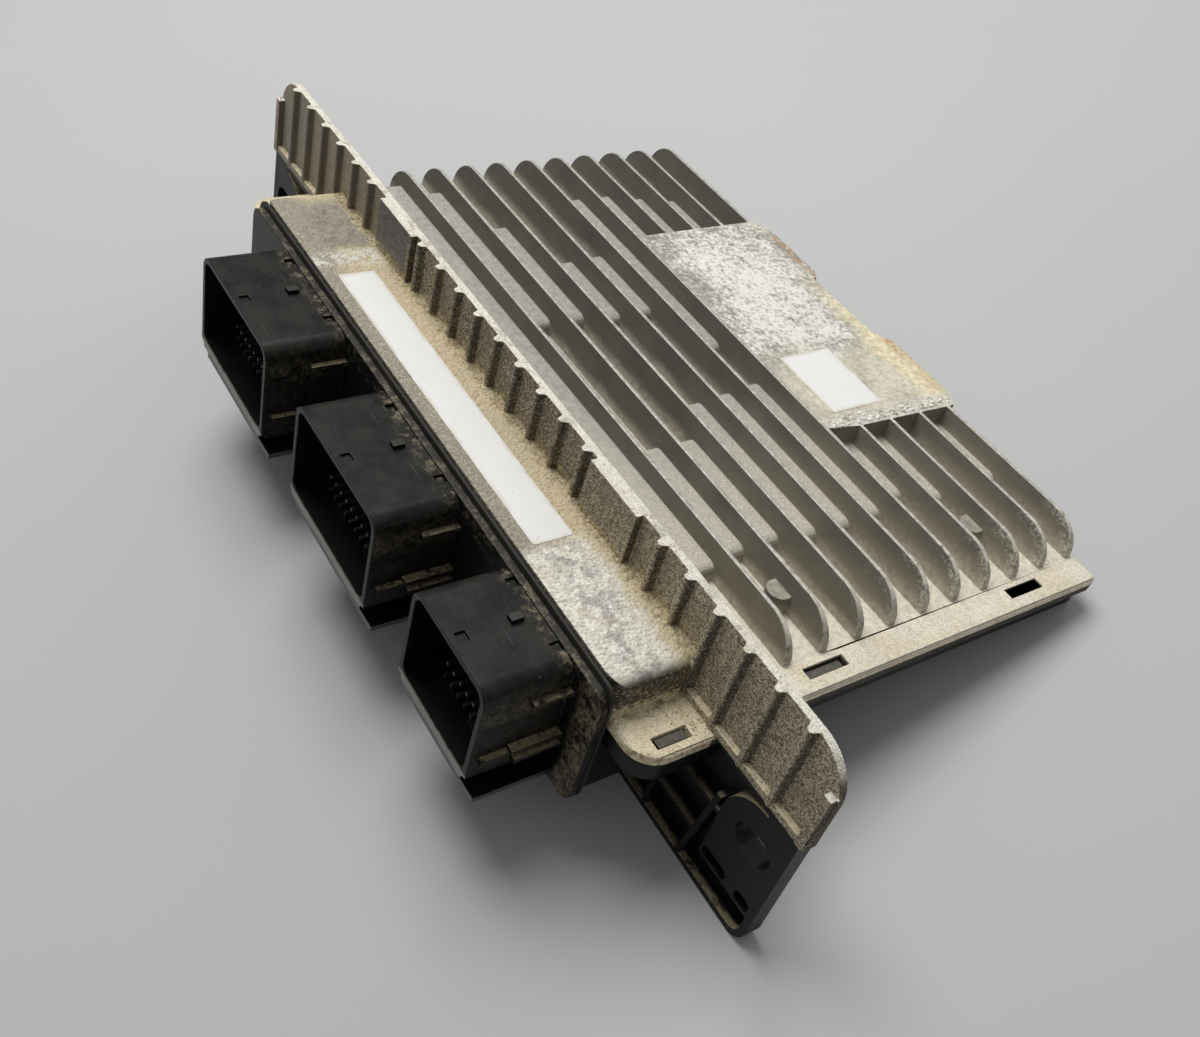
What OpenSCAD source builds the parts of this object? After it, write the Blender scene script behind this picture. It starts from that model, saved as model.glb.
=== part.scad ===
// Engine control unit. A die-cast finned housing with an upright ribbed wall sits on a moulded base
// with a lower flange. A header with three sockets closes the front. X runs along the wall,
// Y from the sockets to the rear edge, Z is up. The origin is midway between the two oblong
// flange holes, on the front of the flange. All sizes are in millimetres.

/* [Plate] */
// How far the plate stands beyond the near end of the shelf
near_out = 15.5; // [14:0.5:20]
// How far the plate stands beyond the far end of the shelf
far_out = 19; // [17:0.5:24]
// Rear edge of the plate behind the flange front
plate_rear = 157; // [155:0.5:164]
// Thickness of the plate
plate_t = 3.3; // [2.6:0.1:4]
// Chamfer around the top of the plate
edge_cut = 0.8; // [0.4:0.1:1.2]
// Height of the raised near rim
rim_h = 0.6; // [0.3:0.1:1]
// Front edge of the two slotted ears, ahead of the flange front
ear_front = 23; // [20:0.5:24]
// Width of the snap slots
slot_w = 3.6; // [3:0.1:3.6]

/* [Wall] */
// Length of the upright wall
wall_len = 326; // [310:1:340]
// Height of the wall above the plate
wall_h = 30.5; // [27:0.5:34]
// Rear face of the wall behind the flange front
wall_rear = 4.2; // [3.6:0.1:5]
// Face of the lands between the ribs
land_y = 1.7; // [1.2:0.1:2]
// How far the ribs stand ahead of the flange front
rib_front = 0.6; // [0.2:0.1:1]
// Width of one rib
rib_w = 2.6; // [2:0.1:3.2]
// How much wider a rib is at its root, on each side
rib_flare = 0.8; // [0.4:0.1:1.2]
// Width of the rib at each end of the wall
end_rib_w = 2.8; // [2:0.1:3.2]
// How far the end ribs stop below the wall top
end_rib_drop = 10; // [8:0.5:13]
// Spacing of the ribs
rib_pitch = 12.4; // [12:0.05:12.6]
// Radius of the top corners of the wall
wall_r = 13; // [9:0.5:15]
// Height of the lip under the lands
lip_h = 2.4; // [1.5:0.1:4]

/* [Shelf] */
// Length of the raised front shelf
shelf_len = 224; // [220:1:230]
// Front face of the shelf ahead of the flange front
shelf_front = 24.5; // [24.2:0.1:26]
// Height of the shelf above the plate
shelf_h = 13.4; // [12.8:0.2:15]
// Rounding along the top of the shelf's ends
shelf_end_r = 5; // [3:0.5:6]

/* [Fins] */
// Number of fins
fin_count = 10; // [10:1:10]
// Spacing of the fins
fin_pitch = 13.45; // [13.2:0.05:13.6]
// Middle of the first fin behind the flange front
fin_first = 32.9; // [31:0.1:34]
// Thickness of a fin at its foot
fin_t = 3.2; // [2.6:0.1:3.6]
// Thickness of a fin at its tip
fin_tip = 1.3; // [1:0.1:1.8]
// Height of the fins above the plate
fin_h = 11.7; // [10.5:0.1:13]
// Near foot of the fins from the near end of the plate
fin_near_in = 11.7; // [11:0.1:14]
// Far foot of the fins from the far end of the plate
fin_far_in = 1.2; // [1:0.1:4]
// Height of the raised valley floors
pad_h = 4.6; // [3.6:0.2:5.4]
// Height of the two round bosses in front of fins
boss_h = 6; // [5:0.5:7]

/* [Plateau] */
// Far edge of the raised label field
plateau_far = 64.6; // [60:0.5:68]
// Near edge of the raised label field
plateau_near = 50.5; // [49:0.5:55]
// Front edge of the raised label field
plateau_front = 101.4; // [100:0.2:104]
// How far the rear tabs stand behind the plate
tab_out = 2.6; // [1.5:0.1:4]

/* [Header] */
// Depth of the sockets ahead of the header flange
socket_depth = 25.6; // [24:0.2:28]
// Width of the two wide sockets
socket_wide = 52.6; // [50:0.2:54]
// Width of the narrow socket
socket_narrow = 38.4; // [36:0.2:40]
// Height of the sockets
socket_h = 35.4; // [34:0.2:37]
// Side and top wall of a socket
socket_wall = 1.8; // [1.4:0.1:2.2]
// Radius of the top edges of a socket
socket_r = 5; // [3.5:0.5:6]
// Thickness of the header flange
header_t = 2.4; // [2:0.1:3]
// Height of the header flange below the plate
header_low = 34; // [33:0.2:36]
// Thickness of the header seal
seal_t = 0.9; // [0.7:0.1:1.2]

/* [Base] */
// Depth of the base below the plate top
base_low = 12; // [11.6:0.1:13]
// Wall thickness of the base
base_t = 2.2; // [1.8:0.1:2.6]
// Thickness of the moulded ears
ear_t = 6; // [4:0.5:7]
// Depth of the lower flange below the plate top
flange_low = 48.5; // [46:0.5:52]
// Length of the lower flange
flange_len = 323; // [320:1:326]
// Thickness of the lower flange over its ribs
flange_t = 6; // [5.4:0.1:7]
// Thickness of the sheet at the back of the flange pockets
web_t = 1.8; // [1.4:0.1:2.4]
// Radius of the thick boss around a mounting hole
boss_r = 13; // [11:0.5:14]
// Middle of a mounting hole from the end of the flange
hole_in = 10.8; // [10:0.1:12]
// Radius of the lower corners of the flange
flange_r = 6; // [3:0.5:8]
// Drop of the mounting holes below the plate top
hole_drop = 15.6; // [14:0.2:17]
// Width of the mounting holes
hole_w = 8.4; // [7:0.2:9.4]
// Length of the mounting holes
hole_l = 13.2; // [11.5:0.2:14]

/* [Board] */
// Thickness of the circuit board
board_t = 1.6; // [1.4:0.1:1.8]
// Thickness of a contact pin
pin_t = 1; // [0.8:0.1:1.2]
// Spacing of the contact pins
pin_pitch = 3.6; // [3.4:0.1:3.8]

/* [Hidden] */
$fn = 48;
seam = 0.8;
plate_near = shelf_len / 2 + near_out;
plate_far = shelf_len / 2 + far_out;
fin_near = plate_near - fin_near_in;
fin_far = plate_far - fin_far_in;
plate_under = -plate_t;
base_top = -plate_t - seam;
base_floor = -base_low + 2;
tray_front = flange_t - web_t;
board_top = -6;
board_under = board_top - board_t;
header_rear = -shelf_front - seal_t;
header_front = header_rear - header_t;
mouth_y = header_front - socket_depth;
socket_top = 9.2;
socket_bottom = socket_top - socket_h;
header_top = 9.8;
header_half = shelf_len / 2 + 1;
box_half = shelf_len / 2 - 2;
far_x = -shelf_len * 0.28;
mid_x = shelf_len * 0.058;
near_x = shelf_len * 0.3625;
block_in = 54;
block_out = 77;
slot_x = plate_near - 8.7;
ear_slot_x = plate_near - 6.6;
flange_half = flange_len / 2;
hole_x = flange_half - hole_in;
rib_last = wall_len / 2 - 14.2;
block_low = -37.5;
plateau_rear = plate_rear - 1.5;
screw_far = -plate_far + 14;
screw_near = plate_near - 17.5;
screw_spots = [[screw_far, 15], [screw_near, 15], [screw_far, 92], [screw_near, 92], [screw_far, 144],
    [screw_near, 144]];

// Shared shapes

module place() {
    translate([0, 0, hole_drop]) children();
}

module slab(x0, x1, y0, y1, z0, z1) {
    translate([x0, y0, z0]) cube([x1 - x0, y1 - y0, z1 - z0]);
}

module round_rect(x0, x1, y0, y1, r) {
    translate([x0 + r, y0]) square([x1 - x0 - 2 * r, y1 - y0]);
    translate([x0, y0 + r]) square([x1 - x0, y1 - y0 - 2 * r]);
    for (x = [x0 + r, x1 - r]) {
        for (y = [y0 + r, y1 - r]) {
            translate([x, y]) circle(r);
        }
    }
}

// A profile drawn in X and Z, run along Y
module along_y(y0, y1) {
    translate([0, y1, 0]) rotate([90, 0, 0]) linear_extrude(y1 - y0) children();
}

// A profile drawn in Y and Z, run along X
module along_x(x0, x1) {
    translate([x0, 0, 0]) rotate([90, 0, 90]) linear_extrude(x1 - x0) children();
}

// Housing

module plate_outline() {
    round_rect(-plate_far, plate_near, -ear_front, 60, 9);
    round_rect(-plate_far, plate_near, 30, plate_rear, 5);
}

// The plate with its top edges cut back
module plate_slab() intersection() {
    translate([0, 0, plate_under]) linear_extrude(plate_t) plate_outline();
    along_x(-plate_far - 1, plate_near + 1) polygon([[-ear_front, plate_under],
        [plate_rear, plate_under], [plate_rear, -edge_cut], [plate_rear - edge_cut, 0],
        [edge_cut - ear_front, 0], [-ear_front, -edge_cut]]);
    along_y(-ear_front - 1, plate_rear + 1) polygon([[-plate_far, plate_under],
        [plate_near, plate_under], [plate_near, -edge_cut], [plate_near - edge_cut, 0],
        [edge_cut - plate_far, 0], [-plate_far, -edge_cut]]);
}

// The rim beside the near feet of the fins stands a little above the valleys
module near_rim() {
    rim_x = plate_near - edge_cut - 0.4;
    rim_y = plate_rear - edge_cut - 0.4;
    slab(fin_near + 1.2, rim_x, wall_rear - 0.5, rim_y, -1, rim_h);
}

module shelf_section() {
    r = shelf_end_r;
    translate([-shelf_len / 2, -1]) square([shelf_len, shelf_h + 1 - r]);
    translate([r - shelf_len / 2, -1]) square([shelf_len - 2 * r, shelf_h + 1]);
    for (e = [-1, 1]) {
        translate([e * (shelf_len / 2 - r), shelf_h - r]) circle(r);
    }
}

// The shelf is round at its front corners and along the top of its two ends
module shelf_block() {
    intersection() {
        linear_extrude(shelf_h) {
            round_rect(-shelf_len / 2, shelf_len / 2, -shelf_front, -4, 6);
            translate([-shelf_len / 2, -14]) square([shelf_len, 14 + wall_rear - 0.5]);
        }
        along_y(-shelf_front - 1, wall_rear) shelf_section();
    }
    translate([0, 0, plate_under]) linear_extrude(plate_t + 1)
        round_rect(-shelf_len / 2, shelf_len / 2, -shelf_front, -4, 6);
}

module shelf_hollow() {
    slab(-box_half + 2, box_half - 2, -shelf_front + 2.6, -3, -8, shelf_h - 2.6);
    slab(-box_half + 4, box_half - 4, -shelf_front - 1, 0, -8, 7.6);
}

module wall_profile() {
    translate([-wall_len / 2, 0]) square([wall_len, wall_h - wall_r]);
    translate([-wall_len / 2 + wall_r, 1]) square([wall_len - 2 * wall_r, wall_h - 1]);
    for (s = [-1, 1]) {
        translate([s * (wall_len / 2 - wall_r), wall_h - wall_r]) circle(wall_r);
    }
}

// A rib has a round nose and a flared root
module rib(x) {
    half = rib_w / 2;
    nose_y = half - rib_front;
    linear_extrude(wall_h) {
        translate([x, nose_y]) circle(half);
        polygon([[x - half, nose_y], [x + half, nose_y], [x + half + rib_flare, land_y + 0.4],
            [x - half - rib_flare, land_y + 0.4]]);
    }
}

module end_rib(x) {
    slab(x - end_rib_w, x, -rib_front, land_y + 0.5, 0, wall_h - end_rib_drop);
}

module ribbed_wall() {
    along_y(land_y, wall_rear) wall_profile();
    for (i = [-4:4]) {
        rib(i * rib_pitch);
    }
    for (s = [-1, 1]) {
        for (i = [0:5]) {
            rib(s * (rib_last - i * rib_pitch));
        }
        mirror([s > 0 ? 0 : 1, 0, 0]) {
            slab(block_in, block_out, -rib_front, land_y + 0.5, 0, wall_h);
            slab(shelf_len / 2 - 4, wall_len / 2, -rib_front + 0.4, land_y + 0.5, 0, lip_h);
            end_rib(wall_len / 2 - 0.3);
        }
    }
}

module fin_profile() {
    intersection() {
        union() {
            translate([-fin_far + fin_h, -1]) square([fin_far + fin_near - 2 * fin_h, fin_h + 1]);
            translate([-fin_far + fin_h, 0]) circle(fin_h);
            translate([fin_near - fin_h, 0]) circle(fin_h);
        }
        translate([-200, -1]) square([400, fin_h + 2]);
    }
}

function fin_y(i) = fin_first + i * fin_pitch;

// A fin is thick at its foot and thin at its tip
module fin_draft(y) {
    along_x(-fin_far - 1, fin_near + 1) polygon([[y - fin_t / 2, -1], [y + fin_t / 2, -1],
        [y + fin_tip / 2, fin_h + 0.5], [y - fin_tip / 2, fin_h + 0.5]]);
}

module fins() {
    for (i = [0:fin_count - 1]) {
        intersection() {
            along_y(fin_y(i) - fin_t, fin_y(i) + fin_t) fin_profile();
            fin_draft(fin_y(i));
        }
    }
}

module pad(valley, x0, x1) {
    slab(x0, x1, fin_y(valley) - 0.5, fin_y(valley + 1) + 0.5, -1, pad_h);
}

module pads() {
    slab(-124, 82, wall_rear - 1, fin_first + 0.5, -1, pad_h + 0.6);
    pad(0, -118, -32.6);
    pad(0, 31, 79);
    pad(1, -91.5, -32.3);
    pad(1, 31.1, 79);
    pad(2, -66, -29.6);
    pad(2, 16.3, 81);
    pad(3, -67, -29.8);
    pad(3, 15, 81.5);
    pad(4, -104, -5.8);
    pad(4, 13.4, 81);
    pad(5, -104, -70);
    pad(5, 49, 77);
    pad(6, -100, -60);
    pad(6, 49, 82.6);
    pad(7, -96, -60);
    pad(8, 49, 81.4);
    for (i = [1, 7]) {
        translate([95.9, fin_y(i) - 2.4, -1]) cylinder(r = 4, h = boss_h + 1);
    }
}

module plateau() {
    translate([0, 0, -1]) linear_extrude(fin_h + 1) {
        polygon([[-plateau_far, plateau_front], [plateau_near - 2, plateau_front],
            [plateau_near, plateau_front + 12], [plateau_near + 1.5, plateau_rear],
            [-plateau_far, plateau_rear]]);
        polygon([[-plateau_far + 1, plateau_rear - 4], [-25, plateau_rear - 4], [-25, plate_rear],
            [-29, plate_rear + tab_out], [-59, plate_rear + tab_out], [-plateau_far + 1, plate_rear]]);
        polygon([[10, plateau_rear - 4], [plateau_near + 1.5, plateau_rear - 4],
            [plateau_near + 1.5, plate_rear], [47, plate_rear + tab_out + 0.6],
            [16, plate_rear + tab_out + 0.6], [10, plate_rear - 1]]);
    }
}

module plateau_hollow() {
    slab(-58, 43, plateau_front + 5, 149, -8, fin_h - 3.3);
}

module snap_slots() {
    slab(slot_x, slot_x + slot_w, 36, 50.6, -8, 4);
    slab(slot_x, slot_x + slot_w, 119.6, 134.2, -8, 4);
    slab(ear_slot_x, ear_slot_x + slot_w, -16.4, -5.4, -8, 4);
    slab(-ear_slot_x - slot_w, -ear_slot_x, -16.4, -5.4, -8, 4);
}

module heatsink_housing() color("#b4ab9a") place() difference() {
    union() {
        plate_slab();
        near_rim();
        shelf_block();
        ribbed_wall();
        fins();
        pads();
        plateau();
        for (p = screw_spots) {
            translate([p[0], p[1], board_top]) cylinder(r = 4, h = 4);
        }
    }
    shelf_hollow();
    plateau_hollow();
    snap_slots();
    for (p = screw_spots) {
        translate([p[0], p[1], board_top - 1]) cylinder(r = 1.4, h = 5.4);
    }
}

// Base

// Outline of the flange in X and Z, drawn in by a margin
module flange_outline(cut) {
    r = flange_r - cut;
    translate([cut - flange_half, -flange_low + flange_r]) square([flange_len - 2 * cut, flange_low]);
    translate([flange_r - flange_half, cut - flange_low]) square([flange_len - 2 * flange_r, flange_low]);
    for (s = [-1, 1]) {
        translate([s * (flange_half - flange_r), flange_r - flange_low]) circle(r);
    }
}

module flange_sheet() {
    slab(-flange_half, flange_half, tray_front, flange_t, -flange_low, -base_low + 1);
    along_y(0, flange_t) difference() {
        flange_outline(0);
        flange_outline(2.4);
        translate([-flange_half - 1, -base_low]) square([flange_len + 2, flange_low]);
    }
    slab(plate_near + 0.6, flange_half, tray_front, flange_t, -base_low, 0);
    slab(-flange_half, -plate_far - 0.6, tray_front, flange_t, -base_low, 0);
    slab(plate_near - 4, plate_near + 1, tray_front, flange_t, -base_low, base_top);
    slab(-plate_far - 1, -plate_far + 4, tray_front, flange_t, -base_low, base_top);
}

// Ribs, boss and end wall of one flange end, drawn for the near end
module flange_end(s) {
    mirror([s > 0 ? 0 : 1, 0, 0]) {
        slab(flange_half - 2.4, flange_half, 0, flange_t, -base_low - 1, 0);
        along_y(0, flange_t - 0.5) polygon([[hole_x - 15.9, -14], [hole_x - 13.9, -14],
            [hole_x - 18, 1 - flange_low], [hole_x - 20, 1 - flange_low]]);
        slab(hole_x - 36.7, hole_x - 34.7, 0, flange_t - 0.5, 1 - flange_low, -base_low);
        slab(hole_x - 36.7, hole_x - 16, 0, flange_t - 0.5, -34, -32.2);
        slab(hole_x - 36.7, hole_x - 12, 0, flange_t - 0.5, -20, -18.2);
        slab(plate_far + 0.6, flange_half, 0, flange_t - 0.5, -1.8, 0);
        along_y(0, flange_t - 0.2) {
            intersection() {
                translate([hole_x, -hole_drop]) circle(boss_r);
                translate([hole_x - 20, -40]) square([flange_half - hole_x + 20, 40]);
            }
            translate([hole_x, block_low]) square([flange_half - hole_x, -block_low]);
            translate([hole_x - boss_r, block_low])
                square([flange_half - hole_x + boss_r, -block_low - hole_drop]);
        }
    }
}

module oblong_hole(s) {
    along_y(-9, 9) {
        translate([s * hole_x - (hole_l - hole_w) / 2, -hole_drop]) circle(hole_w / 2);
        translate([s * hole_x + (hole_l - hole_w) / 2, -hole_drop]) circle(hole_w / 2);
        translate([s * hole_x - (hole_l - hole_w) / 2, -hole_drop - hole_w / 2])
            square([hole_l - hole_w, hole_w]);
    }
}

// Rounded pockets in the lower edge of the thick end, one long and one short
module flange_pockets(s) {
    mirror([s > 0 ? 0 : 1, 0, 0]) {
        along_y(-1, tray_front) {
            round_rect(hole_x - 12.2, hole_x - 2.2, block_low + 0.8, block_low + 4.6, 1.8);
            round_rect(hole_x + 2.2, hole_x + 8, block_low + 0.8, block_low + 4.8, 1.8);
        }
    }
}

module front_box() {
    slab(-box_half, box_half, -shelf_front, tray_front + 1, -header_low, -header_low + base_t);
    for (s = [-1, 1]) {
        mirror([s > 0 ? 0 : 1, 0, 0]) {
            slab(box_half - base_t, box_half, -shelf_front, tray_front + 1, -header_low, base_top);
        }
    }
}

module rear_tray() {
    slab(-plate_far + 3, plate_near - 3, tray_front, plate_rear - 3, -base_low, base_floor);
    slab(-plate_far + 3, -plate_far + 3 + base_t, tray_front, plate_rear - 3, -base_low, base_top);
    slab(plate_near - 3 - base_t, plate_near - 3, tray_front, plate_rear - 3, -base_low, base_top);
    slab(-plate_far + 3, plate_near - 3, plate_rear - 3 - base_t, plate_rear - 3, -base_low, base_top);
    slab(-plate_far + 3, -box_half + base_t, tray_front, tray_front + base_t, -base_low, base_top);
    slab(box_half - base_t, plate_near - 3, tray_front, tray_front + base_t, -base_low, base_top);
    for (x = [-80, -40, 0, 40, 80]) {
        slab(x - 0.8, x + 0.8, tray_front, plate_rear - 4, base_floor - 1, base_floor + 0.8);
    }
}

module hooks() {
    slab(slot_x + 0.4, slot_x + slot_w - 0.6, 37, 49.6, base_floor - 1, -0.8);
    slab(slot_x + 0.4, slot_x + slot_w - 0.6, 120.6, 133.2, base_floor - 1, -0.8);
    for (s = [-1, 1]) {
        mirror([s > 0 ? 0 : 1, 0, 0]) {
            slab(ear_slot_x + 0.4, ear_slot_x + slot_w - 0.4, -15.4, -6.4, base_top - ear_t, -0.8);
        }
    }
    ear_plate(plate_near - 0.6);
    mirror([1, 0, 0]) ear_plate(plate_far - 0.6);
}

// Moulded ear below a metal ear, with its outer front corner rounded
module ear_plate(end) {
    r = 8.4;
    front = 0.6 - ear_front;
    translate([0, 0, base_top - ear_t]) linear_extrude(ear_t) {
        translate([box_half - 1, front + r]) square([end - box_half + 1, flange_t - 0.5 - front - r]);
        translate([box_half - 1, front]) square([end - r - box_half + 1, r + 1]);
        translate([end - r, front + r]) circle(r);
    }
}

module base_tray() color("#1d1d1e") place() difference() {
    union() {
        intersection() {
            union() {
                flange_sheet();
                flange_end(1);
                flange_end(-1);
            }
            along_y(-1, flange_t + 1) flange_outline(0);
        }
        front_box();
        rear_tray();
        hooks();
    }
    oblong_hole(1);
    oblong_hole(-1);
    flange_pockets(1);
    flange_pockets(-1);
    translate([70, 120, -20]) cylinder(r = 4, h = 15);
}

// Header

module socket_outer(w) {
    round_rect(-w / 2, w / 2, socket_bottom, socket_top, socket_r);
    translate([-w / 2 + 2, socket_bottom]) square([w - 4, 6]);
    translate([-w / 2, socket_bottom + 2]) square([w, 8]);
}

module socket_inner(w) {
    inner_r = socket_r - socket_wall + 0.2;
    half = w / 2 - socket_wall;
    round_rect(-half, half, socket_bottom + 3, socket_top - socket_wall, inner_r);
}

module socket(x, w) {
    translate([x, 0, 0]) {
        difference() {
            union() {
                along_y(mouth_y, header_front + 0.5) socket_outer(w);
                slab(-1.3, 1.3, header_front - 8.8, header_front - 5, socket_top - 1, socket_top + 1.5);
            }
            along_y(mouth_y - 1, header_front - 2.2) socket_inner(w);
            slab(-1.5, 1.5, mouth_y + 2, mouth_y + 5, socket_top - 0.9, socket_top + 3);
            for (s = [-1, 1]) {
                slab(s * w * 0.3 - 1.6, s * w * 0.3 + 1.6, header_front - 2.8, header_front,
                    socket_top - 1.2, socket_top + 3);
            }
        }
        for (s = [-1, 1]) {
            slab(s * w * 0.22 - 5, s * w * 0.22 + 5, mouth_y + 8, header_front,
                socket_top - socket_wall - 1.6, socket_top - 1);
            slab(s * w * 0.2 - 4, s * w * 0.2 + 4, mouth_y + 9, header_front,
                socket_bottom + 2, socket_bottom + 4.4);
            mirror([s > 0 ? 0 : 1, 0, 0]) {
                slab(w / 2 - 0.6, w / 2 + 2, header_front - 11.6, header_front + 0.5, 0, 1.6);
                slab(w / 2 - 0.6, w / 2 + 2.6, header_front - 15, header_front + 0.5, -16.4, -14.8);
                slab(w / 2 - 0.6, w / 2 + 3.2, header_front - 14, header_front + 0.5, -19.6, -18);
                slab(w / 2 - 0.6, w / 2 + 1.8, header_front - 23, header_front - 14.5, -18.6, -16);
            }
        }
        slab(-w / 2 + 2, w / 2 + 3.4, mouth_y + 1.4, header_front + 0.5, -31, -29);
        slab(-w / 2 + 4, -w / 2 + 6, mouth_y + 3, header_front + 0.5, -30, socket_bottom + 1);
        slab(w / 2 - 6, w / 2 - 4, mouth_y + 3, header_front + 0.5, -30, socket_bottom + 1);
    }
}

// Contact layout: socket middle, number of contacts in a row
function row_count(w) = floor((w - 2 * socket_wall - 10) / pin_pitch);

module pin_cuts(x, w) {
    n = row_count(w);
    for (i = [0:n - 1]) {
        for (z = [-2, -14, -19]) {
            slab(x + (i - (n - 1) / 2) * pin_pitch - pin_t / 2, x + (i - (n - 1) / 2) * pin_pitch + pin_t / 2,
                header_front - 5, header_rear + 1, z - pin_t / 2, z + pin_t / 2);
        }
    }
    for (s = [-1, 1]) {
        slab(x + s * w * 0.22 - 3.2, x + s * w * 0.22 + 3.2, header_front - 5, header_rear + 1, 3.2, 4.4);
    }
}

module connector_header() color("#18181a") place() difference() {
    union() {
        along_y(header_front, header_rear) round_rect(-header_half, header_half, -header_low, header_top, 5);
        socket(far_x, socket_wide);
        socket(mid_x, socket_wide);
        socket(near_x, socket_narrow);
    }
    pin_cuts(far_x, socket_wide);
    pin_cuts(mid_x, socket_wide);
    pin_cuts(near_x, socket_narrow);
}

module header_seal() color("#0f0f10") place() difference() {
    along_y(header_rear, -shelf_front)
        round_rect(-header_half - 0.3, header_half + 0.3, -header_low + 0.4, 12, 5);
    slab(-box_half + 4, box_half - 4, -40, 0, -header_low + 3, 7.6);
}

module base_seal() color("#262626") place() {
    slab(-plate_far + 3, -plate_far + 3 + base_t, tray_front, plate_rear - 3, base_top, plate_under);
    slab(plate_near - 3 - base_t, plate_near - 3, tray_front, plate_rear - 3, base_top, plate_under);
    slab(-plate_far + 3, plate_near - 3, plate_rear - 3 - base_t, plate_rear - 3, base_top, plate_under);
    slab(-plate_far + 3, -box_half + base_t, tray_front, tray_front + base_t, base_top, plate_under);
    slab(box_half - base_t, plate_near - 3, tray_front, tray_front + base_t, base_top, plate_under);
    for (s = [-1, 1]) {
        mirror([s > 0 ? 0 : 1, 0, 0]) {
            slab(box_half - base_t, box_half, -shelf_front + 1.5, tray_front + base_t, base_top, plate_under);
        }
    }
}

// Labels

module front_label() color("#f2f0ea") place()
    translate([0, 0, shelf_h]) linear_extrude(0.15) round_rect(-62.4, 63.4, -20, -7.4, 1);

module rear_label() color("#efece2") place()
    translate([0, 0, fin_h]) linear_extrude(0.15) round_rect(12.7, 42.5, 107.9, 130, 0.8);

// Board and what is on it

module circuit_board() color("#1f5c38") place() difference() {
    union() {
        slab(-plate_far + 7, plate_near - 10.5, tray_front + base_t + 1, 150, board_under, board_top);
        slab(-box_half + 5, box_half - 5, -17, 10, board_under, board_top);
    }
    for (p = screw_spots) {
        translate([p[0], p[1], -20]) cylinder(r = 1.7, h = 20);
    }
}

module pin_upper(x, z, y1) {
    along_x(x - pin_t / 2, x + pin_t / 2) polygon([[mouth_y + 8, z - pin_t / 2], [y1, z - pin_t / 2],
        [y1, board_top], [y1 + pin_t, board_top], [y1 + pin_t, z + pin_t / 2], [mouth_y + 8, z + pin_t / 2]]);
}

module pin_lower(x, z, y1) {
    along_x(x - pin_t / 2, x + pin_t / 2) polygon([[mouth_y + 8, z - pin_t / 2], [y1 + pin_t, z - pin_t / 2],
        [y1 + pin_t, board_under], [y1, board_under], [y1, z + pin_t / 2], [mouth_y + 8, z + pin_t / 2]]);
}

module socket_pins(x, w) {
    n = row_count(w);
    for (i = [0:n - 1]) {
        pin_upper(x + (i - (n - 1) / 2) * pin_pitch, -2, -13);
        pin_lower(x + (i - (n - 1) / 2) * pin_pitch, -14, -15);
        pin_lower(x + (i - (n - 1) / 2) * pin_pitch, -19, -10);
    }
}

module far_socket_pins() color("#c9b46a") place() socket_pins(far_x, socket_wide);

module mid_socket_pins() color("#c9b46a") place() socket_pins(mid_x, socket_wide);

module near_socket_pins() color("#c9b46a") place() socket_pins(near_x, socket_narrow);

module blade_pair(x, w) {
    for (s = [-1, 1]) {
        along_x(x + s * w * 0.22 - 3.2, x + s * w * 0.22 + 3.2) polygon([[mouth_y + 8, 3.2], [-9, 3.2],
            [-9, board_top], [-7.8, board_top], [-7.8, 4.4], [mouth_y + 8, 4.4]]);
    }
}

module power_blades() color("#cdbb7a") place() {
    blade_pair(far_x, socket_wide);
    blade_pair(mid_x, socket_wide);
    blade_pair(near_x, socket_narrow);
}

module chip(x, y, w, d, h) {
    slab(x - w / 2, x + w / 2, y - d / 2, y + d / 2, board_top, board_top + h);
}

module microcontroller() color("#232427") place() chip(-20, 66, 27, 27, 1.9);

module memory_chip() color("#26272a") place() chip(22, 66, 14, 10, 1.2);

module supply_chip() color("#26272a") place() chip(76, 30, 16, 16, 1.9);

module driver_chips() color("#26272a") place() {
    for (x = [-92, -58, -24, 10, 44]) {
        chip(x, 28, 14, 14, 1.9);
    }
}

module power_transistors() color("#1f2022") place() {
    for (i = [0:7]) {
        chip(-98 + i * 13, 94, 10, 9.4, 1.9);
    }
}

module thermal_pads() color("#8fb3c7") place() {
    slab(-34, -6, 52, 80, board_top + 1.9, plate_under);
    slab(68, 84, 22, 38, board_top + 1.9, plate_under);
    for (x = [-92, -58, -24, 10, 44]) {
        slab(x - 6, x + 6, 22, 34, board_top + 1.9, plate_under);
    }
    slab(-103, -2, 89.6, 98.4, board_top + 1.9, plate_under);
}

module buffer_capacitors() color("#3a3f52") place() {
    for (p = [[-48, 118], [-34, 118], [-48, 134], [-34, 134]]) {
        translate([p[0], p[1], board_top]) cylinder(r = 5, h = 11);
        translate([p[0], p[1], board_top]) cylinder(r = 5.6, h = 1.6);
    }
}

module supply_inductors() color("#4a4a4c") place() {
    for (x = [-12, 6, 24]) {
        slab(x - 6.4, x + 6.4, 113.6, 126.4, board_top, board_top + 8);
    }
}

module clock_crystal() color("#c8c8cc") place()
    translate([0, 0, board_top]) linear_extrude(1.8) round_rect(2.6, 7.4, 48, 59, 2);

module shunt_resistors() color("#3b3a38") place() {
    for (i = [0:3]) {
        chip(20 + i * 10, 94, 6.4, 3.2, 0.8);
    }
}

module ceramic_capacitors() color("#a9835a") place() {
    for (i = [0:11]) {
        chip(-96 + i * 16, 8, 2, 3.2, 1.2);
    }
    for (i = [0:9]) {
        chip(-40 + i * 9, 44, 1.6, 0.9, 0.9);
    }
    for (i = [0:5]) {
        chip(-14 + i * 9, 136, 3.2, 2.5, 1.6);
    }
}

module clamp_diodes() color("#2a2a2c") place() {
    for (i = [0:5]) {
        chip(-90 + i * 34, -1.5, 6, 4, 2.2);
    }
}

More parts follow.
